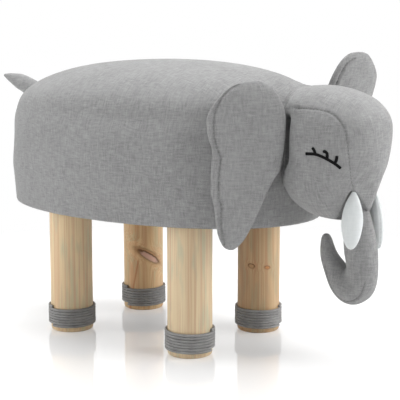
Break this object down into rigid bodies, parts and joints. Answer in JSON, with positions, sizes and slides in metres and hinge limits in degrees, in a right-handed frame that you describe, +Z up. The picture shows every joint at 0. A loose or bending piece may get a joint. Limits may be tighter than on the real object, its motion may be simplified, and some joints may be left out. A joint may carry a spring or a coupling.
{
  "type": "animal footstool",
  "caption": "Low elephant-shaped footstool: oval grey upholstered seat with a stuffed head, white tusks and a tail, on round pine legs wound with cord.",
  "frame": {"origin": "on the floor, under the middle of the whole stool seen from above", "axes": "+X towards the elephant's head, +Y to its left side, +Z up"},
  "size_m": [0.5064, 0.2406, 0.2978],
  "materials": {
    "grey_fabric": "matte linen weave",
    "white_fabric": "matte",
    "black_thread": "satin stitch",
    "grey_cord": "matte braid",
    "pine": "satin clear lacquer",
    "pine_frame": "planed",
    "plywood": "sanded",
    "hardboard": "matte",
    "foam": "open-cell foam",
    "stuffing": "loose fibre",
    "nonwoven": "matte",
    "zinc_steel": "zinc plated"
  },
  "bodies": {
    "stool": {"seat_cover": "grey_fabric", "crown_foam": "foam", "side_foam": "foam", "side_band": "hardboard", "top_board": "plywood", "base_board": "plywood", "dust_cover": "nonwoven", "frame_post_front": "pine_frame", "frame_post_rear": "pine_frame", "frame_post_right": "pine_frame", "frame_post_left": "pine_frame", "head_cover": "grey_fabric", "head_filling": "stuffing", "trunk": "grey_fabric", "eye_embroidery_right": "black_thread", "eye_embroidery_left": "black_thread", "leg_front_right": "pine", "hanger_bolt_front_right": "zinc_steel", "flanged_nut_front_right": "zinc_steel", "cord_winding_front_right": "grey_cord", "leg_front_left": "pine", "hanger_bolt_front_left": "zinc_steel", "flanged_nut_front_left": "zinc_steel", "cord_winding_front_left": "grey_cord", "leg_rear_right": "pine", "hanger_bolt_rear_right": "zinc_steel", "flanged_nut_rear_right": "zinc_steel", "cord_winding_rear_right": "grey_cord", "leg_rear_left": "pine", "hanger_bolt_rear_left": "zinc_steel", "flanged_nut_rear_left": "zinc_steel", "cord_winding_rear_left": "grey_cord"},
    "ear_right": {"ear_right": "grey_fabric"},
    "ear_left": {"ear_left": "grey_fabric"},
    "tusk_right": {"tusk_right": "white_fabric"},
    "tusk_left": {"tusk_left": "white_fabric"},
    "tail": {"tail": "grey_fabric"}
  },
  "joints": [
    {"name": "ear_right_hinge", "type": "hinge", "parent": "stool", "child": "ear_right", "pos_m": [0.17375, -0.0493, 0.225], "axis": [0, 0, 1], "range_deg": [0, 60], "stiffness_Nm_per_rad": 0.3},
    {"name": "ear_left_hinge", "type": "hinge", "parent": "stool", "child": "ear_left", "pos_m": [0.16375, 0.0413, 0.246], "axis": [0.2676, -0.1905, 0.9445], "range_deg": [-20, 20], "stiffness_Nm_per_rad": 0.3},
    {"name": "tusk_right_hinge", "type": "hinge", "parent": "stool", "child": "tusk_right", "pos_m": [0.23175, -0.0195, 0.175], "axis": [-0.7986, -0.6018, 0], "range_deg": [0, 25], "stiffness_Nm_per_rad": 0.05},
    {"name": "tusk_left_hinge", "type": "hinge", "parent": "stool", "child": "tusk_left", "pos_m": [0.23175, 0.0195, 0.17], "axis": [0.7986, -0.6018, 0], "range_deg": [0, 25], "stiffness_Nm_per_rad": 0.05},
    {"name": "tail_hinge", "type": "hinge", "parent": "stool", "child": "tail", "pos_m": [-0.19475, 0, 0.2442], "axis": [0, 0, 1], "range_deg": [-25, 25], "stiffness_Nm_per_rad": 0.1}
  ]
}
